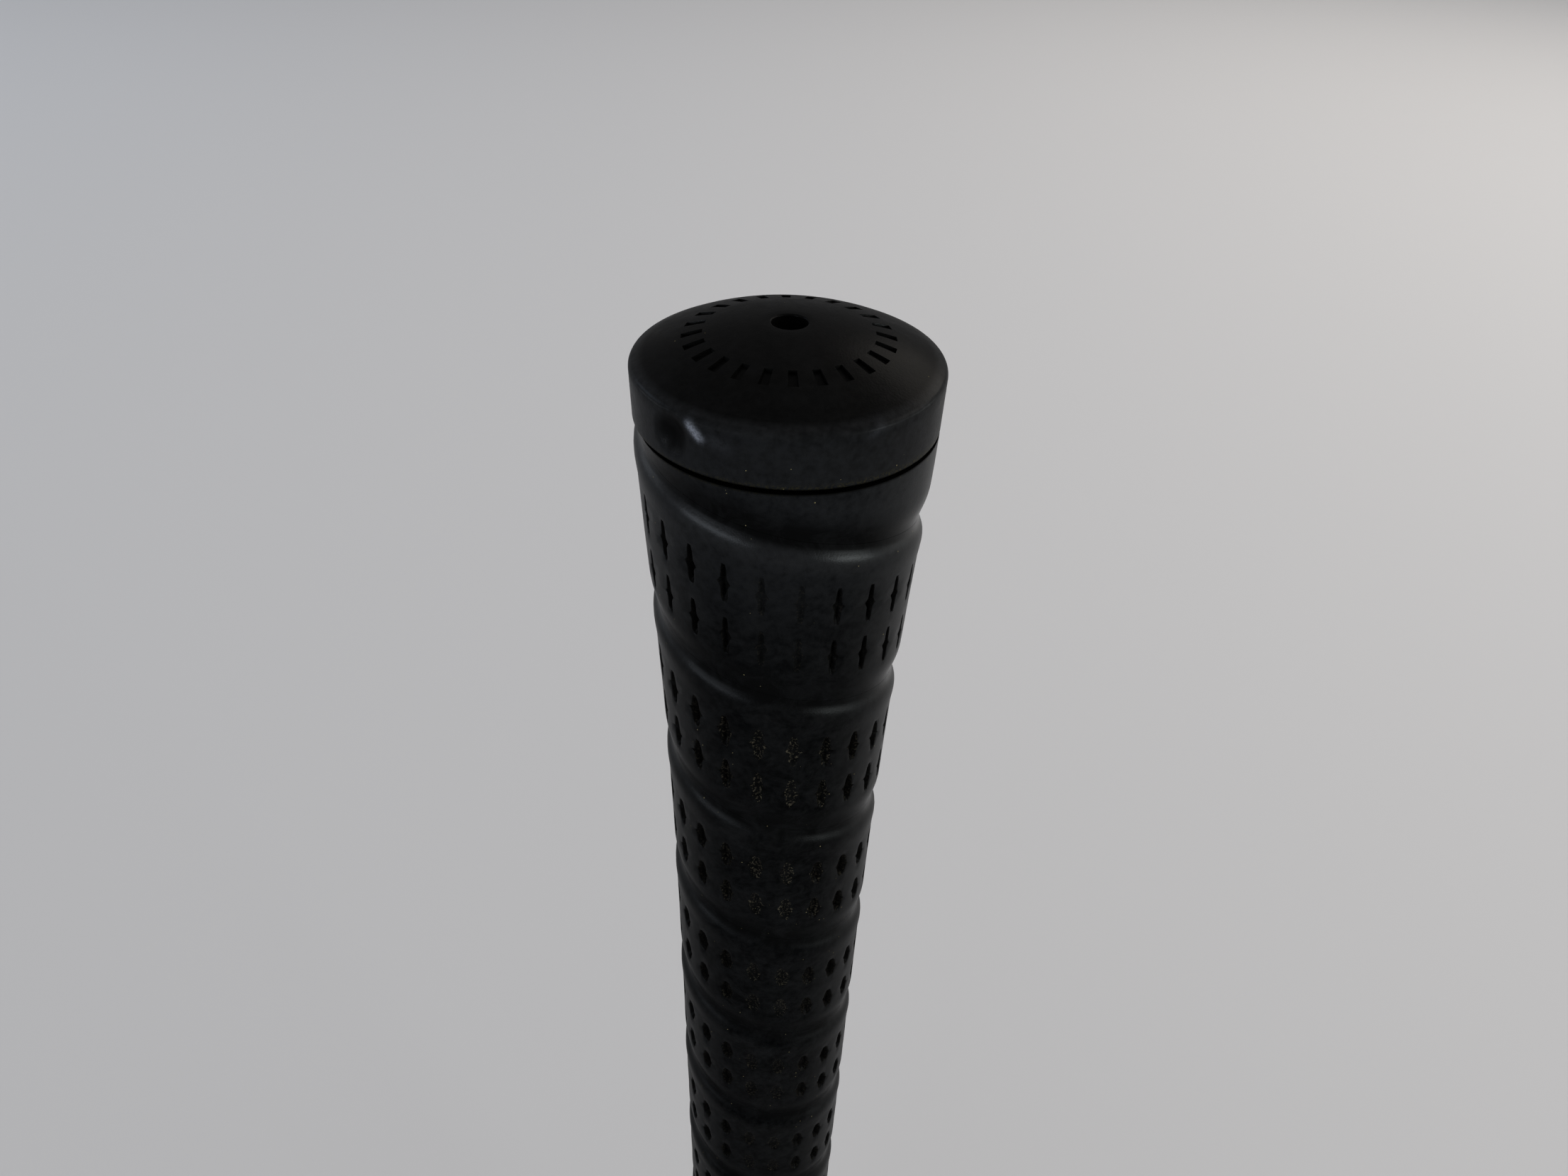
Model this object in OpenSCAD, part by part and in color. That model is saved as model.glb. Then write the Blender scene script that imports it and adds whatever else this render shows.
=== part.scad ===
// Wound rubber golf grip: a tapered inner sleeve with a wound perforated strip, a domed butt cap and a mouth collar.
// The axis is Z. The origin is the centre of the bore at the mouth, and the cap is at the top.

/* [Overall] */
// Length from the mouth to the crown of the cap
grip_length = 267; // [250:1:280]
// Diameter of the shaft that the bore takes
shaft_d = 14.74; // [14.2:0.02:14.9]
// Thickness of the double-sided tape that lines the bore
tape_t = 0.15; // [0.1:0.01:0.2]
// Gap between the edges of the lengthwise tape
tape_seam = 1; // [0.6:0.1:3]

/* [Taper] */
// Radius that the straight taper would have under the cap
body_r = 11.37; // [11.2:0.01:12]
// Radius lost for each millimetre down the grip
taper = 0.0094; // [0.007:0.0001:0.01]
// Radius that the flared butt adds under the cap
flare_r = 2.05; // [1.6:0.01:2.4]
// Length over which the flare dies away
flare_len = 28.2; // [22:0.1:36]
// Power of the flare's fall, higher for a rounder shoulder
flare_pow = 1.45; // [1.2:0.01:1.8]

/* [Cap] */
// Largest diameter of the cap, at its rim
cap_d = 27.14; // [26.9:0.02:28]
// Height of the crown above the cap's lower edge
cap_h = 8.25; // [7.5:0.05:9]
// Radius of the dome
dome_r = 29.5; // [28:0.5:40]
// Radius of the rounded rim
rim_r = 0.9; // [0.6:0.1:1.6]
// Diameter of the vent hole
vent_d = 3.1; // [2:0.1:5]
// Diameter of the stop washer
washer_d = 20.8; // [18:0.1:22]
// Thickness of the stop washer, half in the cap and half in the sleeve
washer_t = 1.6; // [1:0.1:2]

/* [Strip] */
// Thickness of the strip
strip_t = 1; // [0.9:0.05:1.05]
// Height that the winding climbs in one turn
pitch = 18.1; // [17:0.1:20]
// Gap between one turn and the next
turn_gap = 0.5; // [0.45:0.05:0.8]
// Depth of the strip's lower edge under the cap, at the front
front_edge = 4.9; // [3:0.1:9]
// Height of the strip's side edges under their rounded shoulders
edge_h = 0.6; // [0.4:0.05:0.7]
// Width of the upper shoulder
shoulder_w = 1.2; // [0.8:0.1:2]
// Width of the lower, gentler shoulder
slope_w = 2.4; // [1.5:0.1:3]
// Width of the open line between the strip and the cap or the collar
trim_gap = 0.45; // [0.3:0.05:0.8]

/* [Pits] */
// Distance between the two rows of pits
row_gap = 5.9; // [5.4:0.1:6.4]
// Length of a pit along the grip
pit_l = 4.2; // [3:0.1:4.4]
// Width of a pit round the grip
pit_w = 1.3; // [0.8:0.1:1.8]
// Depth of a pit
pit_depth = 0.55; // [0.2:0.05:0.6]

/* [Mouth] */
// Length of the mouth collar
collar_l = 12; // [8:0.5:20]
// Height that the collar stands proud of the strip
collar_proud = 0.1; // [0:0.05:0.3]
// Thickness of the lip that closes the sleeve's end
lip_t = 1; // [0.8:0.1:2]
// Radius of the collar's rounded lower edge
lip_r = 0.7; // [0.3:0.1:0.8]

/* [Hidden] */
$fn = 96;
arc_steps = 12;
profile_step = 6;

groove_z = grip_length - cap_h;
shaft_r = shaft_d / 2;
bore_r = shaft_r + tape_t;
vent_r = vent_d / 2;
washer_r = washer_d / 2;
stop_z = groove_z - washer_t / 2;

// The outside of the grip, by depth under the cap's lower edge
function outer_r(depth) = body_r - taper * depth + flare_r * exp(-pow(depth / flare_len, flare_pow));

// The outside of the sleeve, under the strip
function sleeve_r(depth) = outer_r(depth) - strip_t;

// Points along an arc in the plane of a revolved outline
function arc(centre, r, from, to) =
    [for (k = [0 : arc_steps]) centre + r * [cos(from + (to - from) * k / arc_steps),
                                             sin(from + (to - from) * k / arc_steps)]];

// Cap: the rim's arc runs smoothly into the dome's
cap_r = cap_d / 2;
dome_c = [0, cap_h - dome_r];
rim_c = [cap_r - rim_r, dome_c[1] + sqrt(pow(dome_r - rim_r, 2) - pow(cap_r - rim_r, 2))];
rim_end = atan2(rim_c[1] - dome_c[1], rim_c[0]);
dome_end = acos(vent_r / dome_r);

module butt_cap() {
    color([0.07, 0.065, 0.06])
    translate([0, 0, groove_z])
    rotate_extrude()
    polygon(concat(
        [[vent_r, washer_t / 2], [washer_r, washer_t / 2], [washer_r, 0], [outer_r(0), 0]],
        arc(rim_c, rim_r, 0, rim_end),
        arc(dome_c, dome_r, rim_end, dome_end)));
}

module stop_washer() {
    color([0.45, 0.2, 0.14])
    translate([0, 0, stop_z])
    difference() {
        cylinder(r = washer_r, h = washer_t);
        translate([0, 0, -1]) cylinder(r = vent_r, h = washer_t + 2);
    }
}

// Sleeve: the collar's seat is straight, and the taper begins above it
collar_depth = groove_z - collar_l;
seat_r = sleeve_r(collar_depth);
profile_n = floor(collar_depth / profile_step);

module underlisting() {
    color([0.1, 0.1, 0.1])
    rotate_extrude()
    polygon(concat(
        [[bore_r, lip_t], [seat_r, lip_t]],
        [for (k = [0 : profile_n])
            let (depth = collar_depth * (1 - k / profile_n)) [sleeve_r(depth), groove_z - depth]],
        [[washer_r, groove_z], [washer_r, stop_z], [bore_r, stop_z]]));
}

// Strip: one unbroken winding, left-handed, trimmed straight at both ends of the grip.
// Its section is a ring of lines from the inner upper corner, over the face, to the inner lower corner.
per_turn = 18;
step = 360 / per_turn;
strip_w = pitch - turn_gap;
bond_t = 0.08;
tip_w = 0.1;
top_limit = trim_gap;
low_limit = collar_depth - trim_gap;
lines = 7;
row_middle = strip_w / 2;
line_rise = [strip_w, strip_w, strip_w - shoulder_w, row_middle, slope_w, 0, 0];
line_tip = tip_w * [0, 0, 1, 2, 3, 4, 4];
line_h = [0, edge_h, strip_t, strip_t, strip_t, edge_h, 0];
tip_all = line_tip[lines - 1];
first_turn = (top_limit + tip_all - front_edge) / pitch;
last_turn = (low_limit - tip_all + strip_w - front_edge) / pitch;
stations = ceil((last_turn - first_turn) * per_turn);

// Angle and lower edge of the winding at a station, where a half is the middle of a cell
function angle(i) = 360 * first_turn + (last_turn - first_turn) * 360 * i / stations;
function low_edge(i) = front_edge + pitch * angle(i) / 360;

// A point of the strip: the front of the grip is -Y, and the winding goes down as it goes round to +X
function at(a, depth, r) = [r * sin(a), -r * cos(a), groove_z - depth];

// Inner corners stand off the sleeve by the bond, and by what a flat facet cuts across its round
function line_r(depth, h) = h == 0 ? sleeve_r(depth) / cos(step / 2) + bond_t : sleeve_r(depth) + h;
function line_depth(i, j) =
    min(max(low_edge(i) - line_rise[j], top_limit + line_tip[j]),
        low_limit - line_tip[lines - 1 - j]);
function line_point(i, j) =
    let (depth = line_depth(i, j)) at(angle(i), depth, line_r(depth, line_h[j]));

// Pits: row 0 is the upper one, and each pit is a lozenge in the middle of a cell
pit_corners = 5;
function pit_depth_at(i, row) = low_edge(i + 0.5) - row_middle + (row == 0 ? -1 : 1) * row_gap / 2;
function has_pit(i, row) =
    let (middle = pit_depth_at(i, row), reach = pit_l / 2 + slope_w)
    middle - reach > top_limit && middle + reach < low_limit;
function pit_points(i, row) =
    let (a = angle(i + 0.5), middle = pit_depth_at(i, row), r = outer_r(middle))
    let (half_a = asin(pit_w / 2 / r))
    [at(a, middle - pit_l / 2, outer_r(middle - pit_l / 2)),
     at(a + half_a, middle, r),
     at(a, middle + pit_l / 2, outer_r(middle + pit_l / 2)),
     at(a - half_a, middle, r),
     at(a, middle, r - pit_depth)];

row_cells = [for (row = [0, 1]) [for (i = [0 : stations - 1]) if (has_pit(i, row)) i]];

function line_id(i, j) = i * lines + j % lines;
function pit_id(i, row) =
    (stations + 1) * lines + pit_corners * (i - row_cells[row][0] + (row == 0 ? 0 : len(row_cells[0])));

// Faces of one cell between two stations and two lines, plain or round a pit
function plain_cell(a, b, c, d) = [[a, b, c], [a, c, d]];
function pit_cell(a, b, c, d, p) =
    [[a, b, p], [b, p + 1, p], [b, c, p + 1], [c, p + 2, p + 1],
     [c, d, p + 2], [d, p + 3, p + 2], [d, a, p + 3], [a, p, p + 3],
     [p, p + 1, p + 4], [p + 1, p + 2, p + 4], [p + 2, p + 3, p + 4], [p + 3, p, p + 4]];
function cell(i, j) =
    let (a = line_id(i, j), b = line_id(i + 1, j), c = line_id(i + 1, j + 1), d = line_id(i, j + 1))
    let (row = j - 2)
    (row == 0 || row == 1) && has_pit(i, row) ? pit_cell(a, b, c, d, pit_id(i, row)) : plain_cell(a, b, c, d);

strip_points = concat(
    [for (i = [0 : stations], j = [0 : lines - 1]) line_point(i, j)],
    [for (row = [0, 1], i = row_cells[row]) each pit_points(i, row)]);
strip_faces = concat(
    [for (i = [0 : stations - 1], j = [0 : lines - 1]) each cell(i, j)],
    [for (j = [1 : lines - 2]) [0, j, j + 1]],
    [for (j = [1 : lines - 2]) [line_id(stations, 0), line_id(stations, j + 1), line_id(stations, j)]]);

// Least distance from the lower edge of one turn to the upper edge of the next, on the stations near it
low_line = lines - 2;
function turn_distance(i) =
    min([for (k = [i + per_turn - 3 : min(i + per_turn + 3, stations)], j = [0 : 2])
        norm(line_point(i, low_line) - line_point(k, j))]);
least_gap = min([for (i = [0 : stations - per_turn]) turn_distance(i)]);
echo(strip_turns = last_turn - first_turn, strip_least_gap_mm = least_gap, strip_triangles = len(strip_faces));

module wrap_strip() {
    color([0.08, 0.085, 0.1])
    polyhedron(strip_points, strip_faces, convexity = 10);
}

// Collar: a plain ring over the strip's tail, with a lip under the sleeve's end
collar_r = outer_r(collar_depth) + collar_proud;
mouth_r = outer_r(groove_z) + collar_proud;
edge_r = 0.3;

module mouth_collar() {
    color([0.09, 0.09, 0.095])
    rotate_extrude()
    polygon(concat(
        [[bore_r, lip_t], [bore_r, 0]],
        arc([mouth_r - lip_r, lip_r], lip_r, -90, 0),
        arc([collar_r - edge_r, collar_l - edge_r], edge_r, 0, 90),
        [[seat_r, collar_l], [seat_r, lip_t]]));
}

module grip_tape() {
    color([0.82, 0.76, 0.6])
    difference() {
        cylinder(r = bore_r, h = stop_z);
        translate([0, 0, -1]) cylinder(r = shaft_r, h = stop_z + 2);
        translate([-tape_seam / 2, 0, -1]) cube([tape_seam, bore_r + 1, stop_z + 2]);
    }
}

butt_cap();
stop_washer();
underlisting();
wrap_strip();
mouth_collar();
grip_tape();
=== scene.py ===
import math
import random

import bmesh
import bpy
import numpy as np
from mathutils import Euler, Matrix, Vector, noise


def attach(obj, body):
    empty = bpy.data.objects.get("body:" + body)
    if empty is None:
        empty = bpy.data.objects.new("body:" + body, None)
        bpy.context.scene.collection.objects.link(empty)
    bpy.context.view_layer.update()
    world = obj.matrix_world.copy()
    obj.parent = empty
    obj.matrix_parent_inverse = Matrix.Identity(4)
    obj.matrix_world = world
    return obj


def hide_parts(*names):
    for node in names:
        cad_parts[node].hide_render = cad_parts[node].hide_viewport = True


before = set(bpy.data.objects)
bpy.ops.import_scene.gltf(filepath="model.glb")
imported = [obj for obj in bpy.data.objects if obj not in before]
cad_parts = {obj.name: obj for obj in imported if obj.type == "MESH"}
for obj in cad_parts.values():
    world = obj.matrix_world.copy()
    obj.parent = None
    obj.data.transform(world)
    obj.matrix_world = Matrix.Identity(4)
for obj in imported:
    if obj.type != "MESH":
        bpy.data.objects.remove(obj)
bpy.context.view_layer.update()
print("frame loaded:", ", ".join(sorted(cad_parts)))

mm = 0.001  # shapes are worked out in millimetres, and scaled when a piece is finished

# outside of the grip, by depth under the cap's lower edge
gripShape = {
    "grooveHeight": 258.75,
    "bodyRadius": 11.37,
    "taper": 0.0094,
    "flareRadius": 2.05,
    "flareLength": 28.2,
    "flarePower": 1.45,
    "seamTilt": 0.015,  # the line under the cap is a little higher on the left
    "sideCosines": (0.9, 0.35),  # the sides shine from one angle off the front to the other
}


def shareOf(value, first, last):
    return min(max((value - first) / (last - first), 0), 1)


def outerRadius(depth):
    flare = math.exp(-(max(depth, 0) / gripShape["flareLength"]) ** gripShape["flarePower"])
    return gripShape["bodyRadius"] - gripShape["taper"] * depth + gripShape["flareRadius"] * flare


def finishPiece(bm, name, material, node, sharpAngle):
    bmesh.ops.recalc_face_normals(bm, faces=bm.faces)
    bmesh.ops.scale(bm, vec=(mm, mm, mm), verts=bm.verts)
    mesh = bpy.data.meshes.new(name)
    bm.to_mesh(mesh)
    bm.free()
    mesh.shade_smooth()
    mesh.set_sharp_from_angle(angle=math.radians(sharpAngle))
    mesh.materials.append(material)
    piece = bpy.data.objects.new(name, mesh)
    bpy.context.scene.collection.objects.link(piece)
    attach(piece, "root")
    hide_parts(node)
    print(name, "made:", len(mesh.polygons), "faces")


def arcPoints(centre, radius, fromAngle, toAngle, steps):
    angles = np.radians(np.linspace(fromAngle, toAngle, steps + 1))
    return [(centre[0] + radius * math.cos(a), centre[1] + radius * math.sin(a)) for a in angles]


def spinOutline(outline, steps):
    bm = bmesh.new()
    verts = [bm.verts.new((r, 0, z)) for r, z in outline]
    edges = [bm.edges.new(pair) for pair in zip(verts, verts[1:] + verts[:1])]
    bmesh.ops.spin(bm, geom=verts + edges, cent=(0, 0, 0), axis=(0, 0, 1),
                   angle=2 * math.pi, steps=steps, use_merge=True)
    bmesh.ops.remove_doubles(bm, verts=bm.verts, dist=1e-4)
    bmesh.ops.recalc_face_normals(bm, faces=bm.faces)
    return bm


# materials

def startMaterial(name):
    material = bpy.data.materials.new(name)
    material.use_nodes = True
    tree = material.node_tree
    shader = tree.nodes["Principled BSDF"]
    coords = tree.nodes.new("ShaderNodeTexCoord").outputs["Object"]
    return material, tree, shader, coords


def addNode(tree, kind, inputs=None, **settings):
    node = tree.nodes.new(kind)
    for key, value in settings.items():
        setattr(node, key, value)
    for key, value in (inputs or {}).items():
        if isinstance(value, bpy.types.NodeSocket):
            tree.links.new(value, node.inputs[key])
        else:
            node.inputs[key].default_value = value
    return node


def mapRange(tree, value, fromLow, fromHigh, toLow, toHigh):
    return addNode(tree, "ShaderNodeMapRange", {
        "Value": value, "From Min": fromLow, "From Max": fromHigh,
        "To Min": toLow, "To Max": toHigh}).outputs["Result"]


def mathNode(tree, operation, a, b):
    node = addNode(tree, "ShaderNodeMath", {0: a, 1: b}, operation=operation)
    return node.outputs[0]


def mixColour(tree, factor, a, b):
    node = addNode(tree, "ShaderNodeMix", data_type="RGBA")
    for socket, value in ((node.inputs[0], factor), (node.inputs[6], a), (node.inputs[7], b)):
        if isinstance(value, bpy.types.NodeSocket):
            tree.links.new(value, socket)
        else:
            socket.default_value = value
    return node.outputs[2]


def rubberMaterial(name, look):
    material, tree, shader, coords = startMaterial(name)
    cloud = addNode(tree, "ShaderNodeTexNoise", {
        "Vector": coords, "Scale": look["cloudScale"], "Detail": 5.0, "Roughness": 0.6}).outputs["Fac"]
    scuff = addNode(tree, "ShaderNodeTexNoise", {
        "Vector": coords, "Scale": look["scuffScale"], "Detail": 8.0, "Roughness": 0.7,
        "Distortion": 0.6}).outputs["Fac"]
    grain = addNode(tree, "ShaderNodeTexNoise", {
        "Vector": coords, "Scale": look["grainScale"], "Detail": 3.0}).outputs["Fac"]
    fine = addNode(tree, "ShaderNodeTexNoise", {
        "Vector": coords, "Scale": look["fineScale"], "Detail": 2.0}).outputs["Fac"]
    halfCloud = mathNode(tree, "MULTIPLY", cloud, 0.5)
    halfFine = mathNode(tree, "MULTIPLY", fine, 0.5)
    tone = mathNode(tree, "ADD", halfCloud, halfFine)
    paler = mapRange(tree, tone, *look["toneRange"], 0.0, 1.0)
    colour = mixColour(tree, paler, look["dark"], look["light"])
    place = addNode(tree, "ShaderNodeSeparateXYZ", {"Vector": coords}).outputs
    overGroove = mathNode(tree, "SUBTRACT", place["Z"], gripShape["grooveHeight"] * mm)

    # a lighter film on the cap's band and the first turn, fading downward; the valleys get none of it and
    # are painted dark instead, as painted shade
    above = mapRange(tree, overGroove, *look["filmTop"], 1.0, 0.0)
    below = mapRange(tree, overGroove, *look["filmLow"], 0.0, 1.0)
    patches = mapRange(tree, tone, *look["filmRange"], look["filmPatchy"], 1.0)
    film = mathNode(tree, "MULTIPLY", above, below)
    film = mathNode(tree, "MULTIPLY", film, patches)
    # valley attribute: painted shade, a darker colour and no film in the valleys and hollows
    if look["valley"]:
        valley = addNode(tree, "ShaderNodeAttribute", attribute_name=look["valley"]).outputs["Fac"]
        film = mathNode(tree, "MULTIPLY", film, mathNode(tree, "SUBTRACT", 1.0, valley))
        colour = mixColour(tree, valley, colour, look["valleyShadeColour"])
    # the rim and the dome's outer ring painted lighter still: partly the film, partly painted light where
    # the rim faces up
    onRim = mapRange(tree, overGroove, *look["rimFilmAndLightAt"], 0.0, 1.0)
    colour = mixColour(tree, film, colour, mixColour(tree, onRim, look["film"], look["rimFilmAndLight"]))
    scuffed = mapRange(tree, scuff, *look["scuffRange"], 0.0, look["scuffAmount"])
    colour = mixColour(tree, scuffed, colour, look["scuff"])
    # pale scrape marks in the colour, partly painted highlights
    if look["mark"]:
        mark = addNode(tree, "ShaderNodeAttribute", attribute_name=look["mark"]).outputs["Fac"]
        rubbed = mapRange(tree, grain, *look["markGrain"], look["markLeast"], 1.0)
        colour = mixColour(tree, mathNode(tree, "MULTIPLY", mark, rubbed), colour, look["scrapeAndHighlightColour"])

    # specks of dust, more of them by the groove, and grime on its lips
    specks = addNode(tree, "ShaderNodeTexVoronoi", {"Vector": coords, "Scale": look["dustScale"]})
    chosen = addNode(tree, "ShaderNodeSeparateColor", {"Color": specks.outputs["Color"]})
    fromGroove = mathNode(tree, "ABSOLUTE", overGroove, 0.0)
    byGroove = 1.0 - look["grooveDust"]
    elsewhere = 1.0 - look["dustShare"]
    clean = mapRange(tree, fromGroove, 0.0, look["grooveReach"], byGroove, elsewhere)
    speckSize = mapRange(tree, chosen.outputs["Red"], clean, 1.0, 0.0, look["dustSize"])
    dust = mathNode(tree, "LESS_THAN", specks.outputs["Distance"], speckSize)
    colour = mixColour(tree, dust, colour, look["dust"])
    lip = mapRange(tree, fromGroove, *look["lipReach"], look["lipDust"], 0.0)
    lip = mathNode(tree, "MULTIPLY", lip, mapRange(tree, grain, *look["lipGrain"], 0.0, 1.0))
    colour = mixColour(tree, lip, colour, look["lipColour"])

    # painted shade in the groove and on both lips, along its tilted line
    tilt = mathNode(tree, "MULTIPLY", place["X"], gripShape["seamTilt"])
    overSeam = mathNode(tree, "ADD", overGroove, tilt)
    fromMiddle = mathNode(tree, "ABSOLUTE", mathNode(tree, "ADD", overSeam, look["grooveShadeMiddle"]), 0.0)
    grooveShade = mapRange(tree, fromMiddle, *look["grooveShadeReach"], 1.0, 0.0)
    colour = mixColour(tree, grooveShade, colour, look["grooveShade"])

    # open pits painted darker than the surface round them, as painted shade; pits packed with dirt get
    # less of it
    if look["pitShade"]:
        inside = addNode(tree, "ShaderNodeAttribute", attribute_name=look["pitShade"]).outputs["Fac"]
        colour = mixColour(tree, inside, colour, look["pitShadeColour"])
        wear = addNode(tree, "ShaderNodeAttribute", attribute_name=look["pitWear"]).outputs["Fac"]
        grit = addNode(tree, "ShaderNodeTexNoise", {
            "Vector": coords, "Scale": look["gritScale"], "Detail": 2.0}).outputs["Fac"]
        gritMask = mathNode(tree, "MULTIPLY", mapRange(tree, grit, *look["gritRange"], 0.0, 1.0), wear)
        colour = mixColour(tree, gritMask, colour, look["grit"])
    tree.links.new(colour, shader.inputs["Base Color"])

    # finish
    rough = mapRange(tree, scuff, *look["roughRange"], look["smooth"], look["rough"])
    tree.links.new(rough, shader.inputs["Roughness"])
    relief = mathNode(tree, "ADD", grain, mathNode(tree, "MULTIPLY", scuff, look["scuffHeight"]))
    bump = addNode(tree, "ShaderNodeBump", {
        "Height": relief, "Strength": look["bump"], "Distance": look["bumpDepth"]})
    tree.links.new(bump.outputs["Normal"], shader.inputs["Normal"])
    tree.links.new(bump.outputs["Normal"], shader.inputs["Coat Normal"])
    shader.inputs["Specular IOR Level"].default_value = look["specular"]
    shader.inputs["Coat Roughness"].default_value = look["coatRough"]
    if look["shine"]:
        shine = addNode(tree, "ShaderNodeAttribute", attribute_name=look["shine"]).outputs["Fac"]
        # no coat where the groove's shade is painted
        shine = mathNode(tree, "MULTIPLY", shine, mathNode(tree, "SUBTRACT", 1.0, grooveShade))
        tree.links.new(shine, shader.inputs["Coat Weight"])
    else:
        shader.inputs["Coat Weight"].default_value = look["coat"]
    return material


rubberLook = {
    "dark": (0.0004, 0.0005, 0.0006, 1.0),
    "light": (0.0028, 0.0029, 0.003, 1.0),
    "scuff": (0.0095, 0.0097, 0.01, 1.0),
    "scuffAmount": 0.5,
    "toneRange": (0.4, 0.62),
    "filmRange": (0.36, 0.58),
    "scuffRange": (0.45, 0.75),
    "roughRange": (0.3, 0.7),
    "gritRange": (0.54, 0.66),
    "lipGrain": (0.46, 0.62),
    "markGrain": (0.3, 0.6),
    "markLeast": 0.4,
    "dust": (0.12, 0.1, 0.05, 1.0),
    "grit": (0.05, 0.043, 0.03, 1.0),
    # painted shade inside the open pits
    "pitShadeColour": (0.0015, 0.0014, 0.0013, 1.0),
    "specular": 0.005,
    "smooth": 0.36,
    "rough": 0.55,
    "coat": 0.13,
    "coatRough": 0.16,
    "film": (0.0074, 0.0077, 0.0082, 1.0),
    "filmTop": (0.0052, 0.0055),  # metres over the groove
    "filmLow": (-0.017, -0.007),
    # rim painted lighter: partly film, partly painted light
    "rimFilmAndLight": (0.0105, 0.0107, 0.011, 1.0),
    "rimFilmAndLightAt": (0.0042, 0.0048),
    "filmPatchy": 0.4,
    "scrapeAndHighlightColour": (0.2, 0.21, 0.24, 1.0),
    "valleyShadeColour": (0.002, 0.002, 0.002, 1.0),
    "cloudScale": 90.0,
    "scuffScale": 380.0,
    "fineScale": 1600.0,
    "grainScale": 5200.0,
    "gritScale": 4500.0,
    "dustScale": 2000.0,
    "dustShare": 0.07,
    "dustSize": 0.13,
    "grooveDust": 0.5,
    "grooveReach": 0.0018,
    "lipColour": (0.017, 0.0148, 0.0072, 1.0),
    "lipDust": 0.8,
    "lipReach": (0.0002, 0.0006),
    # painted shade in the groove and on its lips
    "grooveShade": (0.0012, 0.0012, 0.0011, 1.0),
    "grooveShadeMiddle": 0.00017,  # half the groove's width
    "grooveShadeReach": (0.00017, 0.00042),
    "scuffHeight": 0.5,
    "bump": 0.5,
    "bumpDepth": 0.000025,
    # attributes that a piece carries, where it has them
    "pitShade": "",
    "pitWear": "",
    "valley": "",
    "shine": "",
    "mark": "",
}

stripRubber = rubberMaterial("stripRubber", {
    **rubberLook,
    "pitShade": "pitShade",
    "pitWear": "pitWear",
    "valley": "valleyShade",
    "shine": "shine",
    "coatRough": 0.33,
})
capRubber = rubberMaterial("capRubber", {
    **rubberLook,
    "dark": (0.0018, 0.0018, 0.0017, 1.0),
    "light": (0.003, 0.0029, 0.0027, 1.0),
    "dustShare": 0.02,
    "specular": 0.006,
    "shine": "dentShine",
    "mark": "scrapeAndHighlight",
    "scuffAmount": 0.25,
    "coatRough": 0.24,
    "valley": "valleyShade",
})
collarRubber = rubberMaterial("collarRubber", {**rubberLook, "dustShare": 0.02})
sleeveRubber = rubberMaterial("sleeveRubber", {
    **rubberLook,
    "dark": (0.03, 0.027, 0.022, 1.0),
    "light": (0.045, 0.04, 0.032, 1.0),
    "smooth": 0.6,
    "rough": 0.75,
    "film": (0.0008, 0.0008, 0.0008, 1.0),
    "dustShare": 0.1,
    "grooveDust": 0.0,
    "lipDust": 0.0,
})


def washerMaterial(look):
    material, tree, shader, coords = startMaterial("washerFibre")
    fibres = addNode(tree, "ShaderNodeTexNoise", {
        "Vector": coords, "Scale": look["fibreScale"], "Detail": 6.0, "Roughness": 0.7,
        "Distortion": 1.5}).outputs["Fac"]
    colour = mixColour(tree, mapRange(tree, fibres, *look["range"], 0.0, 1.0), look["dark"], look["light"])
    tree.links.new(colour, shader.inputs["Base Color"])
    rough = mapRange(tree, fibres, *look["range"], *look["rough"])
    tree.links.new(rough, shader.inputs["Roughness"])
    bump = addNode(tree, "ShaderNodeBump", {
        "Height": fibres, "Strength": look["bump"], "Distance": look["bumpDepth"]})
    tree.links.new(bump.outputs["Normal"], shader.inputs["Normal"])
    return material


def tapeMaterial(look):
    material, tree, shader, coords = startMaterial("tapePaper")
    stretched = addNode(tree, "ShaderNodeMapping", {"Vector": coords, "Scale": look["crepeStretch"]})
    crepe = addNode(tree, "ShaderNodeTexNoise", {
        "Vector": stretched.outputs["Vector"], "Scale": look["crepeScale"], "Detail": 4.0,
        "Roughness": 0.6}).outputs["Fac"]
    stain = addNode(tree, "ShaderNodeTexNoise", {
        "Vector": coords, "Scale": look["stainScale"], "Detail": 5.0}).outputs["Fac"]
    colour = mixColour(tree, mapRange(tree, crepe, *look["range"], 0.0, 1.0), look["dark"], look["light"])
    stained = mapRange(tree, stain, *look["stainRange"], 0.0, look["stainAmount"])
    colour = mixColour(tree, stained, colour, look["stain"])
    tree.links.new(colour, shader.inputs["Base Color"])
    rough = mapRange(tree, crepe, *look["range"], *look["rough"])
    tree.links.new(rough, shader.inputs["Roughness"])
    bump = addNode(tree, "ShaderNodeBump", {
        "Height": crepe, "Strength": look["bump"], "Distance": look["bumpDepth"]})
    tree.links.new(bump.outputs["Normal"], shader.inputs["Normal"])
    return material


washerFibre = washerMaterial({
    "dark": (0.16, 0.045, 0.025, 1.0),
    "light": (0.3, 0.1, 0.055, 1.0),
    "fibreScale": 900.0,
    "range": (0.3, 0.7),
    "rough": (0.5, 0.7),
    "bump": 0.4,
    "bumpDepth": 0.00008,
})
tapePaper = tapeMaterial({
    "dark": (0.45, 0.37, 0.22, 1.0),
    "light": (0.62, 0.54, 0.36, 1.0),
    "stain": (0.3, 0.24, 0.15, 1.0),
    "crepeScale": 300.0,
    "crepeStretch": (1.0, 1.0, 9.0),
    "range": (0.3, 0.7),
    "stainScale": 45.0,
    "stainRange": (0.5, 0.75),
    "stainAmount": 0.6,
    "rough": (0.7, 0.88),
    "bump": 0.6,
    "bumpDepth": 0.0001,
})
print("materials made")

# wound strip: drawn flat as one long grid, x is the column, y the rise over the lower edge, z the height

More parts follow.
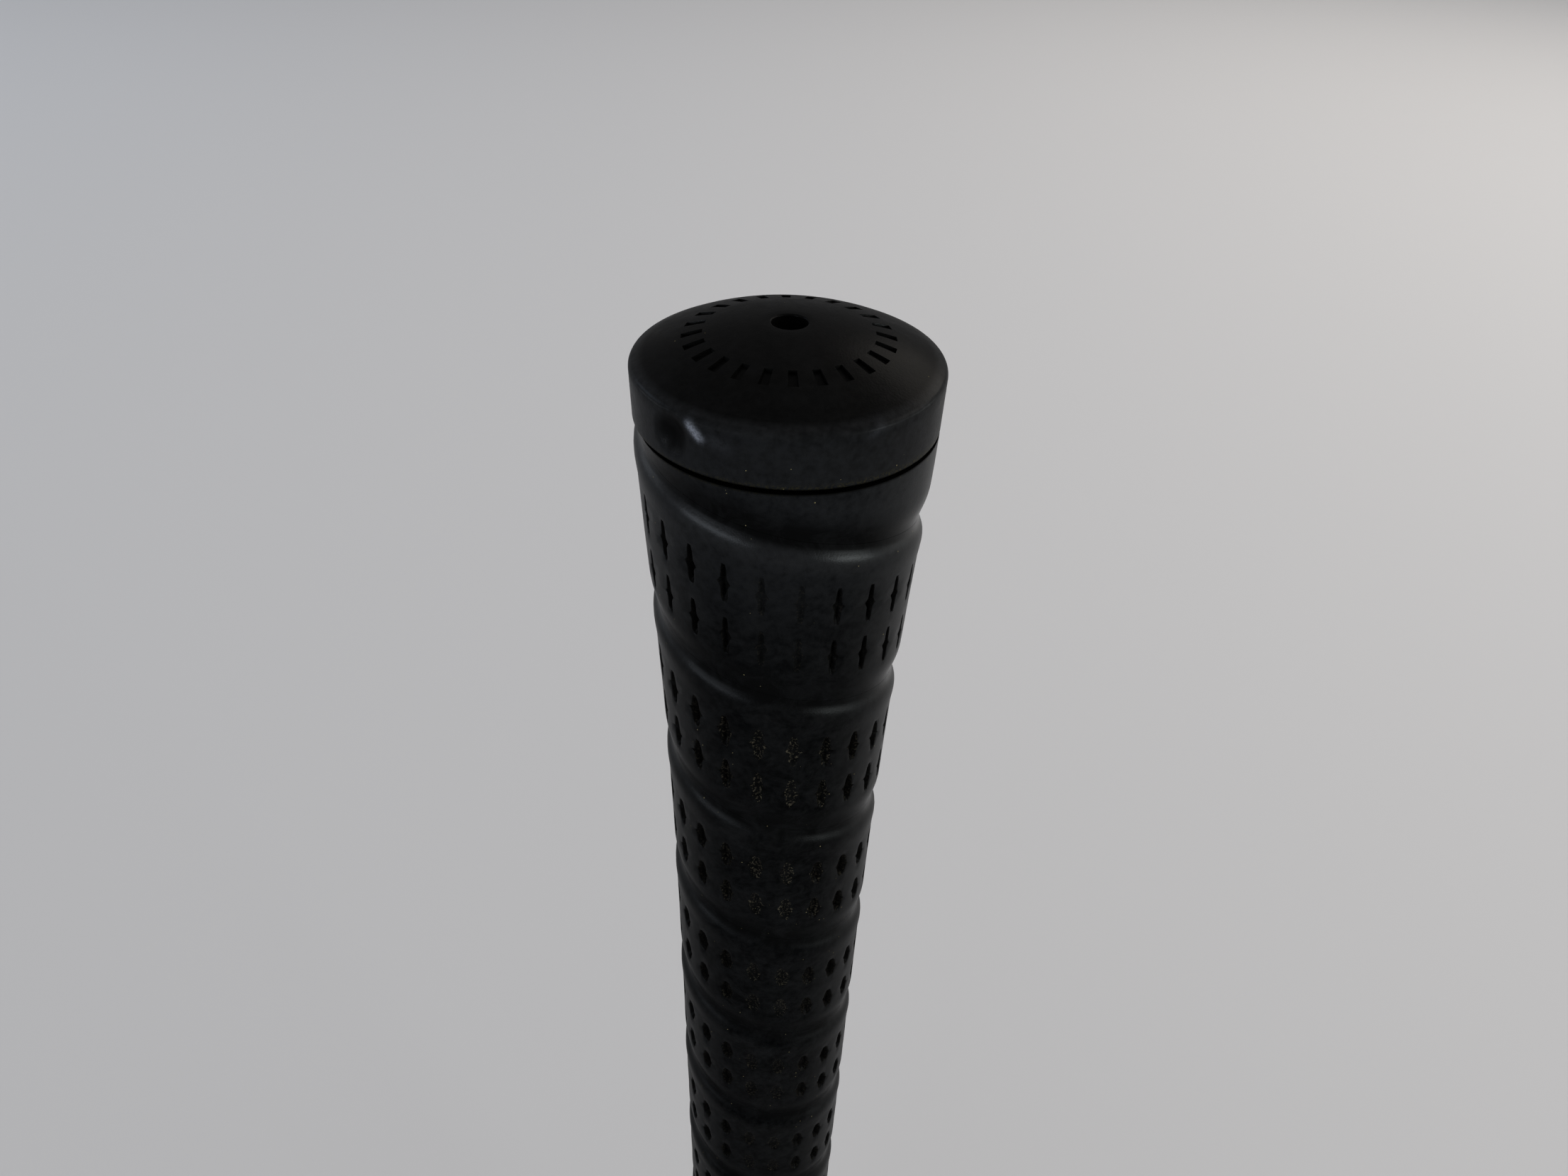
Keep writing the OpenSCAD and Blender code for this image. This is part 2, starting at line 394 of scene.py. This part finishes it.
stripSettings = {
    "pitch": 18.1,
    "frontEdge": 4.9,  # depth of the lower edge at the front of the first turn
    "thickness": 0.95,
    "cellWidth": 3.25,
    "frontPhase": 0.5,  # degrees from the front to the nearest edge of a cell
    "firstTurn": -0.28,
    "lastTurn": 14.42,
    "turnSteps": 180,
    "trimTop": 0.34,
    "trimLow": 246.3,
    "rowCentres": (5.85, 11.75),
    "plainMargin": 2.4,
    # rise, height, share of painted valley shade and share of polish, from the edge inwards and outwards
    "lowerShoulder": ((0.015, -0.53, 1.0, 0.0), (0.25, -0.525, 1.0, 0.0), (0.55, -0.49, 1.0, 0.0),
                      (0.95, -0.4, 1.0, 0.0), (1.4, -0.28, 0.95, 0.0), (1.9, -0.165, 0.75, 0.0),
                      (2.5, -0.065, 0.5, 0.0), (3.1, -0.01, 0.25, 0.0)),
    "upperShoulder": ((14.2, 0.02, 0.0, 0.0), (14.9, 0.065, 0.0, 0.3), (15.5, 0.1, 0.0, 0.7),
                      (16.0, 0.085, 0.0, 1.0), (16.4, 0.03, 0.0, 1.0), (16.7, -0.05, 0.0, 1.0),
                      (16.95, -0.15, 0.1, 1.0), (17.2, -0.275, 0.4, 0.7), (17.42, -0.385, 0.8, 0.3),
                      (17.62, -0.46, 1.0, 0.05), (17.85, -0.51, 1.0, 0.0), (18.085, -0.53, 1.0, 0.0)),
    # coat on the front that hands have dulled, on the left and right sides, and in the pits
    "frontCoat": 0.035,
    "sideCoat": (0.33, 0.44),
    "pitCoat": 0.01,
    "backDull": 0.7,
    "backCosine": 0.35,
    "dullDepth": (22.0, 66.0),
    "dullShare": 0.4,
    # coat on the rounded upper edge, and how it fades with depth
    "edgeCoat": 0.17,
    "polishDepths": (6.0, 22.0, 42.0, 66.0),
    "polishShares": (1.0, 0.45, 0.38, 0.1),
    "waviness": 0.025,
    "waveScale": 0.22,
    "backCuts": 3,
    "sharpAngle": 48,
}

# one pit: rises of its rows, and half widths as a slit, as four points, and as an oval further down
pitSettings = {
    "rises": (-2.12, -1.55, -0.55, 0.0, 0.55, 1.55, 2.12),
    "columns": (-0.75, -0.4, 0.0, 0.4, 0.75),
    "slit": (0.2, 0.34, 0.36, 0.38, 0.33, 0.28, 0.17),
    "fourPoint": (0.22, 0.44, 0.56, 0.6, 0.54, 0.4, 0.2),
    "oval": (0.3, 0.6, 0.74, 0.8, 0.74, 0.58, 0.28),
    # the same three stages of the arms' reach, of their corners and of the length
    "armReach": (0.66, 0.98, 0.94),
    "armCorner": (0.5, 0.66, 0.84),
    "length": (1.0, 0.96, 0.78),
    "armRise": 0.24,
    "fourPointTurns": (1.35, 1.75),  # turns over which one stage becomes the next
    "ovalTurns": (2.1, 3.5),
    "rimScale": (0.84, 0.95),
    "rimDrop": 0.07,
    "coreScale": (0.3, 0.72),
    "ovalCore": 0.55,
    "coreDrop": 0.62,
    # share of the depth that dirt fills, the angle where it is most, and how fast it and the grit fade
    "packed": 0.72,
    "packedAngle": 3,
    "packedReach": 20,
    "gritReach": 34,
    "cleanTurns": (3.0, 5.0),
    "cleanShare": 0.6,
    "uneven": 0.07,
    "leastGrit": 0.15,
    "wear": (0.9, 0.4),  # share of grit at the rim and the core
}

random.seed(11)


def lowEdge(angle):
    return stripSettings["frontEdge"] + stripSettings["pitch"] * angle / 360


def bandMiddle(angle):
    return lowEdge(angle) - sum(stripSettings["rowCentres"]) / 2


def cellEdges():
    edges = []
    steps = stripSettings["turnSteps"]
    for turn in range(math.floor(stripSettings["firstTurn"]), math.ceil(stripSettings["lastTurn"])):
        start = 360 * turn + stripSettings["frontPhase"]
        angles = np.linspace(start, start + 360, steps + 1)
        radii = np.array([outerRadius(bandMiddle(a)) for a in angles])
        arcs = np.concatenate([[0], np.cumsum((radii[1:] + radii[:-1]) / 2 * np.radians(360 / steps))])
        count = round(arcs[-1] / stripSettings["cellWidth"])
        edges.extend(np.interp(np.linspace(0, arcs[-1], count, endpoint=False), arcs, angles))
    first = 360 * stripSettings["firstTurn"]
    last = 360 * stripSettings["lastTurn"]
    return [a for a in edges if first <= a <= last]


def hasPit(angle, centre):
    middle = lowEdge(angle) - centre
    reach = pitSettings["rises"][-1] + stripSettings["plainMargin"]
    return middle - reach > stripSettings["trimTop"] and middle + reach < stripSettings["trimLow"]


def turnShare(angle, turns):
    return shareOf(angle / 360, *turns)


def pitShape(slit, fourPoint, oval, worn, rounded):
    return slit + (fourPoint - slit) * worn + (oval - fourPoint) * rounded


def frontShare(angle, reach):
    fromFront = (angle - pitSettings["packedAngle"] + 180) % 360 - 180
    return math.exp(-(fromFront / reach) ** 2)


def sideShare(angle):
    return shareOf(math.cos(math.radians(angle)), *gripShape["sideCosines"])


def coatAt(angle, valley):
    turn = math.radians(angle)
    left, right = stripSettings["sideCoat"]
    side = left + (right - left) * (math.sin(turn) + 1) / 2
    aside = sideShare(angle)
    coat = stripSettings["frontCoat"] + (side - stripSettings["frontCoat"]) * aside
    behind = shareOf(-math.cos(turn), 0, stripSettings["backCosine"])
    return coat * (1 + valley * (2 * aside - 1)) * (1 - stripSettings["backDull"] * behind)


def makeStrip():
    edges = cellEdges()
    perCell = len(pitSettings["columns"]) + 1
    cells = len(edges) - 1
    rows = list(stripSettings["lowerShoulder"])
    pitRows = []
    for k, centre in enumerate(stripSettings["rowCentres"]):
        if k:
            rows.append((sum(stripSettings["rowCentres"]) / 2, 0.0, 0.0, 0.0))
        pitRows.append(len(rows))
        rows += [(centre + rise, 0.0, 0.0, 0.0) for rise in pitSettings["rises"]]
    rows += list(stripSettings["upperShoulder"])
    columns = []
    for a, b in zip(edges, edges[1:]):
        radius = outerRadius(bandMiddle((a + b) / 2))
        columns.append(a)
        columns += [(a + b) / 2 + math.degrees(u / radius) for u in pitSettings["columns"]]
    columns.append(edges[-1])

    bm = bmesh.new()
    bmesh.ops.create_grid(bm, x_segments=len(columns) - 1, y_segments=len(rows) - 1, size=1)
    bm.verts.ensure_lookup_table()
    bm.faces.ensure_lookup_table()
    pitShadeLayer = bm.verts.layers.float.new("pitShade")
    wearLayer = bm.verts.layers.float.new("pitWear")
    valleyShadeLayer = bm.verts.layers.float.new("valleyShade")
    shineLayer = bm.verts.layers.float.new("shine")
    for v in bm.verts:
        rise, height, valley, polish = rows[v.index // len(columns)]
        angle = columns[v.index % len(columns)]
        v.co = (angle, rise, height)
        # painted shade in the valley between turns, carried as an attribute
        v[valleyShadeLayer] = valley
        depth = lowEdge(angle) - rise
        polish *= np.interp(depth, stripSettings["polishDepths"], stripSettings["polishShares"])
        dulled = shareOf(depth, *stripSettings["dullDepth"])
        rubbed = coatAt(angle, valley) * (1 - stripSettings["dullShare"] * dulled)
        v[shineLayer] = max(rubbed, stripSettings["edgeCoat"] * polish)

    # pits: the columns beside each one's middle are drawn in to its outline
    pits = []
    midRow = len(pitSettings["rises"]) // 2
    midColumn = perCell // 2
    for cell in range(cells):
        first = cell * perCell
        middle = first + midColumn
        angle = columns[middle]
        degrees = math.degrees(1 / outerRadius(bandMiddle(angle)))
        for firstRow, centre in zip(pitRows, stripSettings["rowCentres"]):
            if not hasPit(angle, centre):
                continue
            worn = turnShare(angle, pitSettings["fourPointTurns"])
            rounded = turnShare(angle, pitSettings["ovalTurns"])
            length = pitShape(*pitSettings["length"], worn, rounded)
            for k, rise in enumerate(pitSettings["rises"]):
                row = (firstRow + k) * len(columns)
                stages = [pitSettings[stage][k] for stage in ("slit", "fourPoint", "oval")]
                half = pitShape(*stages, worn, rounded)
                bm.verts[row + middle].co.y = centre + rise * length
                for side in (-1, 1):
                    uneven = 1 + random.uniform(-1, 1) * pitSettings["uneven"]
                    wall = bm.verts[row + middle + side]
                    wall.co.x = angle + side * half * uneven * degrees
                    wall.co.y = centre + rise * length
                    if abs(k - midRow) <= 1:
                        reach = pitSettings["armReach"] if k == midRow else pitSettings["armCorner"]
                        arm = bm.verts[row + middle + 2 * side]
                        arm.co.x = angle + side * pitShape(*reach, worn, rounded) * uneven * degrees
                        arm.co.y = centre + (k - midRow) * pitSettings["armRise"]
            faces = []
            for k in range(len(pitSettings["rises"]) - 1):
                for column in range(1, perCell - 1):
                    if column in (midColumn - 1, midColumn) or k in (midRow - 1, midRow):
                        faces.append(bm.faces[(firstRow + k) * (len(columns) - 1) + first + column])
            pits.append((angle, centre, worn, rounded, faces))

    # each pit gets a soft rim and then its walls
    wearRim, wearCore = pitSettings["wear"]
    pitFaces = [f for pit in pits for f in pit[-1]]
    steps = ((pitSettings["rimScale"], pitSettings["rimDrop"], wearRim),
             (pitSettings["coreScale"], pitSettings["coreDrop"], wearCore))
    for (across, along), drop, wear in steps:
        bmesh.ops.inset_region(bm, faces=pitFaces, thickness=0, use_boundary=True)
        for angle, centre, worn, rounded, faces in pits:
            packed = pitSettings["packed"] * frontShare(angle, pitSettings["packedReach"])
            grit = max(worn, pitSettings["leastGrit"]) * frontShare(angle, pitSettings["gritReach"])
            grit *= 1 - pitSettings["cleanShare"] * turnShare(angle, pitSettings["cleanTurns"])
            wide = across + max(pitSettings["ovalCore"] - across, 0) * rounded
            for v in {v for f in faces for v in f.verts}:
                v.co.x = angle + (v.co.x - angle) * wide
                v.co.y = centre + (v.co.y - centre) * along
                v.co.z = -drop * (1 - packed)
                v[pitShadeLayer] = 1 - packed
                v[wearLayer] = wear * grit
                v[shineLayer] = stripSettings["pitCoat"]

    # sides and back
    sides = bmesh.ops.extrude_edge_only(bm, edges=[e for e in bm.edges if e.is_boundary])["geom"]
    for v in [g for g in sides if isinstance(g, bmesh.types.BMVert)]:
        v.co.z = -stripSettings["thickness"]
    longEdges = [e for e in bm.edges if e.is_boundary and abs(e.verts[0].co.y - e.verts[1].co.y) < 1e-6]
    back = bmesh.ops.bridge_loops(bm, edges=longEdges)
    across = [e for e in back["edges"] if abs(e.verts[0].co.y - e.verts[1].co.y) > 1]
    bmesh.ops.subdivide_edges(bm, edges=across, cuts=stripSettings["backCuts"], use_grid_fill=True)

    # wound round the sleeve: it goes down as it goes round to the right of the front
    nearBack = -0.9 * stripSettings["thickness"]
    for v in bm.verts:
        angle, rise, height = v.co
        depth = lowEdge(angle) - rise
        turn = math.radians(angle)
        radius = outerRadius(depth) + height
        z = gripShape["grooveHeight"] - depth
        if height > nearBack:
            place = Vector((math.sin(turn) * radius, -math.cos(turn) * radius, z))
            radius += stripSettings["waviness"] * noise.noise(place * stripSettings["waveScale"])
        v.co = (math.sin(turn) * radius, -math.cos(turn) * radius, z)

    # trimmed square under the cap and over the collar
    for depth, side, tilt in ((stripSettings["trimTop"], 1, gripShape["seamTilt"]),
                              (stripSettings["trimLow"], -1, 0)):
        cut = bmesh.ops.bisect_plane(bm, geom=bm.verts[:] + bm.edges[:] + bm.faces[:], dist=1e-5,
                                     plane_co=(0, 0, gripShape["grooveHeight"] - depth),
                                     plane_no=(tilt, 0, side), clear_outer=True)
        rim = [g for g in cut["geom_cut"] if isinstance(g, bmesh.types.BMEdge)]
        bmesh.ops.holes_fill(bm, edges=rim, sides=0)
    print("strip wound:", cells, "cells,", len(pits), "pits, open edges",
          sum(1 for e in bm.edges if not e.is_manifold))
    finishPiece(bm, "wrapStrip", stripRubber, "wrap_strip", stripSettings["sharpAngle"])


makeStrip()

# butt cap: spun outline, a ring of plain moulded dashes round the vent, and a dent in the band

capSettings = {
    "bandRadius": 13.56,
    "lowRadius": 13.42,
    "edgeRound": 0.16,
    "rimRadius": 0.6,
    "domeRadius": 28.8,
    "height": 8.3,
    "ventRadius": 1.55,
    "ventRound": 0.15,
    "washerRadius": 10.4,
    "washerSeat": 0.8,
    "seatEdge": 12.6,
    "steps": 384,
    "bandRows": 20,
    "domeRows": (4, 2, 6),  # outside the ring of dashes, in it and inside it
    "dashRing": (7.3, 9.1),
    "dashEvery": 16,
    "dashSteps": 6,
    "dashInset": 0.05,
    "dashDepth": 0.3,
    "dentAngle": -42.8,
    "dentHeight": 2.7,
    "dentSize": (2.2, 2.2),
    "dentDepth": 0.6,
    "dentPower": 1.5,
    "dentShade": 1.5,
    "ridgeHeight": 0.12,  # a low ridge under each scrape
    # pale scrapes, partly painted highlights on the dent's lip and the rim: angle, height, direction
    # across and up, half length, half width, strength
    "scrapesAndHighlights": (
        (-31.8, 3.93, (0.72, -0.69), 0.95, 0.33, 0.85),
        (-23.0, 3.4, (0.95, -0.3), 1.1, 0.6, 0.03),
        (31.6, 4.6, (0.9, 0.43), 0.9, 0.4, 0.04),
    ),
    "coat": 0.06,
    "sideCoat": 0.13,
    "rimDull": 1.0,
    "rimPlateau": 1.6,  # above 1, the dull line along the rim is wider
    "scrapeCoat": 0.25,
    "outsideMargin": 0.1,
    "sharpAngle": 40,
}


def makeCap():
    s = capSettings
    domeCentre = (0, s["height"] - s["domeRadius"])
    rimFlat = s["bandRadius"] - s["rimRadius"]
    toRim = s["domeRadius"] - s["rimRadius"]
    rimCentre = (rimFlat, domeCentre[1] + math.sqrt(toRim ** 2 - rimFlat ** 2))
    rimEnd = math.degrees(math.atan2(rimCentre[1] - domeCentre[1], rimFlat))
    ventEdge = s["ventRadius"] + s["ventRound"]

    def domePoint(radius):
        return (radius, domeCentre[1] + math.sqrt(s["domeRadius"] ** 2 - radius ** 2))

    ventTop = domePoint(ventEdge)[1]
    edge = s["edgeRound"]
    outline = [(s["ventRadius"], s["washerSeat"]), (s["washerRadius"], s["washerSeat"]),
               (s["washerRadius"], 0.0), (s["seatEdge"], 0.0)]
    outline += arcPoints((s["lowRadius"] - edge, edge), edge, -90, 0, 4)
    for k in range(1, s["bandRows"]):
        share = k / s["bandRows"]
        outline.append((s["lowRadius"] + (s["bandRadius"] - s["lowRadius"]) * share,
                        edge + (rimCentre[1] - edge) * share))
    outline += arcPoints(rimCentre, s["rimRadius"], 0, rimEnd, 10)
    rimTop = outline[-1][0]
    low, high = s["dashRing"]
    outside, inRing, inside = s["domeRows"]
    outline += [domePoint(r) for r in np.linspace(rimTop, high, outside + 1)[1:]]
    outline += [domePoint(r) for r in np.linspace(high, low, inRing + 1)[1:]]
    outline += [domePoint(r) for r in np.linspace(low, ventEdge, inside + 1)[1:-1]]
    outline += arcPoints((ventEdge, ventTop - s["ventRound"]), s["ventRound"], 90, 180, 5)
    outline.append((s["ventRadius"], (s["washerSeat"] + ventTop - s["ventRound"]) / 2))
    bm = spinOutline(outline, s["steps"])

    # dashes
    step = 360 / s["steps"]
    dashFaces = []
    for f in bm.faces:
        c = f.calc_center_median()
        if low < math.hypot(c.x, c.y) < high and f.normal.z > 0.5:
            place = math.floor(math.degrees(math.atan2(c.y, c.x)) / step + 1e-6)
            if place % s["dashEvery"] < s["dashSteps"]:
                dashFaces.append(f)
    bmesh.ops.inset_region(bm, faces=dashFaces, thickness=s["dashInset"], depth=-s["dashDepth"],
                           use_boundary=True, use_even_offset=True)

    # outside: the dent and its painted shade, the scrapes with their partly painted highlights, the dull
    # rim, and the lower edge with its tilt and the painted shade along it
    across, along = s["dentSize"]
    shineLayer = bm.verts.layers.float.new("dentShine")
    valleyShadeLayer = bm.verts.layers.float.new("valleyShade")
    scrapeAndHighlightLayer = bm.verts.layers.float.new("scrapeAndHighlight")
    for v in bm.verts:
        v[shineLayer] = s["coat"]
        radius = math.hypot(v.co.x, v.co.y)
        if radius < s["seatEdge"] + s["outsideMargin"]:
            continue
        angle = math.degrees(math.atan2(v.co.x, -v.co.y))
        fromRim = abs(v.co.z - rimCentre[1] - s["rimRadius"] / 2) / (2 * s["rimRadius"])
        v[shineLayer] *= 1 - s["rimDull"] * min(max(s["rimPlateau"] * (1 - fromRim), 0), 1)
        v[shineLayer] += s["sideCoat"] * sideShare(angle)
        aside = math.radians(angle - s["dentAngle"]) * radius
        above = v.co.z - s["dentHeight"]
        hollow = max(1 - math.hypot(aside / across, above / along) ** 2, 0)
        for markAngle, markHeight, run, reach, width, strength in s["scrapesAndHighlights"]:
            fromMark = Vector((math.radians(angle - markAngle) * radius, v.co.z - markHeight))
            runShare = Vector(run).dot(fromMark) / reach
            widthShare = Vector(run).cross(fromMark) / width
            v[scrapeAndHighlightLayer] += strength * math.exp(-widthShare ** 2 - runShare ** 4)
        move = s["ridgeHeight"] * v[scrapeAndHighlightLayer] - s["dentDepth"] * hollow ** s["dentPower"]
        v[shineLayer] = (v[shineLayer] + s["scrapeCoat"] * v[scrapeAndHighlightLayer]) * (1 - hollow)
        # painted shade in the dent's hollow and along the rounding of the cap's lower edge
        underLip = shareOf(v.co.z, edge, edge / 2)
        v[valleyShadeLayer] = max(min(s["dentShade"] * hollow, 1), underLip)
        v[shineLayer] *= 1 - underLip
        tilt = gripShape["seamTilt"] * v.co.x * max(1 - v.co.z / rimCentre[1], 0)
        v.co.x *= (radius + move) / radius
        v.co.y *= (radius + move) / radius
        v.co.z -= tilt
    bmesh.ops.translate(bm, vec=(0, 0, gripShape["grooveHeight"]), verts=bm.verts)
    finishPiece(bm, "buttCap", capRubber, "butt_cap", s["sharpAngle"])


makeCap()

# mouth collar

collarSettings = {
    "length": 12.0,
    "proud": 0.1,
    "lipThickness": 1.0,
    "lipRound": 0.7,
    "edgeRound": 0.3,
    "boreRadius": 7.52,
    "seatDepth": 1.0,  # from the strip's outside to the sleeve
    "steps": 160,
    "sharpAngle": 40,
}


def makeCollar():
    s = collarSettings
    stripRadius = outerRadius(gripShape["grooveHeight"] - s["length"])
    seatRadius = stripRadius - s["seatDepth"]
    topRadius = stripRadius + s["proud"]
    mouthRadius = outerRadius(gripShape["grooveHeight"]) + s["proud"]
    outline = [(s["boreRadius"], s["lipThickness"]), (s["boreRadius"], 0.0)]
    outline += arcPoints((mouthRadius - s["lipRound"], s["lipRound"]), s["lipRound"], -90, 0, 8)
    edge = s["edgeRound"]
    outline += arcPoints((topRadius - edge, s["length"] - edge), edge, 0, 90, 6)
    outline += [(seatRadius, s["length"]), (seatRadius, s["lipThickness"])]
    bm = spinOutline(outline, s["steps"])
    finishPiece(bm, "mouthCollar", collarRubber, "mouth_collar", s["sharpAngle"])


makeCollar()

# pieces whose solids are right as they are
solidFinishes = {
    "underlisting": sleeveRubber,
    "stop_washer": washerFibre,
    "grip_tape": tapePaper,
}
for node, material in solidFinishes.items():
    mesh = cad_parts[node].data
    mesh.materials.clear()
    mesh.materials.append(material)
print("solids dressed")

# studio

studioSettings = {
    "floorRadius": 2.4,
    "floorColour": (0.66, 0.655, 0.655, 1.0),
    "floorRough": 0.9,
    "floorSpecular": 0.1,
    "floorSegments": 128,
    "horizon": (0.45, 0.45, 0.46, 1.0),
    "overhead": (0.34, 0.34, 0.35, 1.0),
    "skyBand": (0.05, 0.4),
    "lamps": (
        # name, place, target, width, height, power, colour
        ("leftWindow", (-2.73, -2.93, 0.27), (0, 0, 0.24), 3.2, 0.48, 100.0, (0.82, 0.9, 1.0)),
        ("rightWindow", (3.46, -2.0, 0.27), (0, 0, 0.24), 2.1, 0.48, 100.0, (0.92, 1.0, 1.0)),
        ("leftRim", (-3.5, 0.64, 0.27), (0, 0, 0.22), 1.9, 0.48, 10.0, (0.82, 0.9, 1.0)),
        ("rightRim", (3.5, 0.64, 0.27), (0, 0, 0.22), 1.9, 0.48, 15.0, (0.95, 1.0, 0.98)),
        ("leftSoftbox", (-1.7, 0.9, 1.2), (-0.3, 0.7, 0), 1.0, 0.8, 6.0, (0.66, 0.8, 1.0)),
        ("rightSoftbox", (1.5, 0.3, 1.15), (0.4, 0.3, 0), 1.2, 0.9, 11.0, (1.0, 0.95, 0.9)),
        ("backSoftbox", (1.1, 1.5, 1.3), (0.1, 0.2, 0.1), 1.2, 0.9, 8.0, (1.0, 0.93, 0.84)),
    ),
}

cameraSettings = {
    "place": (0.0, -0.09207, 0.30698),
    "turn": (53.7574, -1.7065, 1.0427),  # tipped up from straight down, rolled and turned, in degrees
    "lens": 27.02,
    "sensor": 36.0,
    "clip": (0.01, 50),
}


def makeStudio():
    s = studioSettings
    bm = bmesh.new()
    bmesh.ops.create_circle(bm, cap_ends=True, segments=s["floorSegments"], radius=s["floorRadius"])
    mesh = bpy.data.meshes.new("studioFloor")
    bm.to_mesh(mesh)
    bm.free()
    material, tree, shader, coords = startMaterial("floorPaper")
    shader.inputs["Base Color"].default_value = s["floorColour"]
    shader.inputs["Roughness"].default_value = s["floorRough"]
    shader.inputs["Specular IOR Level"].default_value = s["floorSpecular"]
    mesh.materials.append(material)
    floor = bpy.data.objects.new("studioFloor", mesh)
    bpy.context.scene.collection.objects.link(floor)

    for name, place, target, width, height, power, colour in s["lamps"]:
        light = bpy.data.lights.new(name, "AREA")
        light.shape = "RECTANGLE"
        light.size = width
        light.size_y = height
        light.energy = power
        light.color = colour
        lamp = bpy.data.objects.new(name, light)
        lamp.location = place
        lamp.rotation_euler = (Vector(target) - Vector(place)).to_track_quat("-Z", "Y").to_euler()
        bpy.context.scene.collection.objects.link(lamp)

    world = bpy.data.worlds.new("studioWorld")
    world.use_nodes = True
    tree = world.node_tree
    direction = addNode(tree, "ShaderNodeTexCoord").outputs["Generated"]
    parts = addNode(tree, "ShaderNodeSeparateXYZ", {"Vector": direction}).outputs
    upwards = mapRange(tree, parts["Z"], *s["skyBand"], 0.0, 1.0)
    colour = mixColour(tree, upwards, s["horizon"], s["overhead"])
    tree.links.new(colour, tree.nodes["Background"].inputs["Color"])
    bpy.context.scene.world = world


def makeCamera():
    s = cameraSettings
    data = bpy.data.cameras.new("photoCamera")
    data.lens = s["lens"]
    data.sensor_width = s["sensor"]
    data.sensor_fit = "HORIZONTAL"
    data.clip_start, data.clip_end = s["clip"]
    camera = bpy.data.objects.new("photoCamera", data)
    turn = Euler([math.radians(angle) for angle in s["turn"]])
    camera.matrix_world = Matrix.LocRotScale(Vector(s["place"]), turn, None)
    bpy.context.scene.collection.objects.link(camera)
    bpy.context.scene.camera = camera


makeStudio()
makeCamera()
bpy.context.scene.view_settings.view_transform = "Standard"
print("studio set")
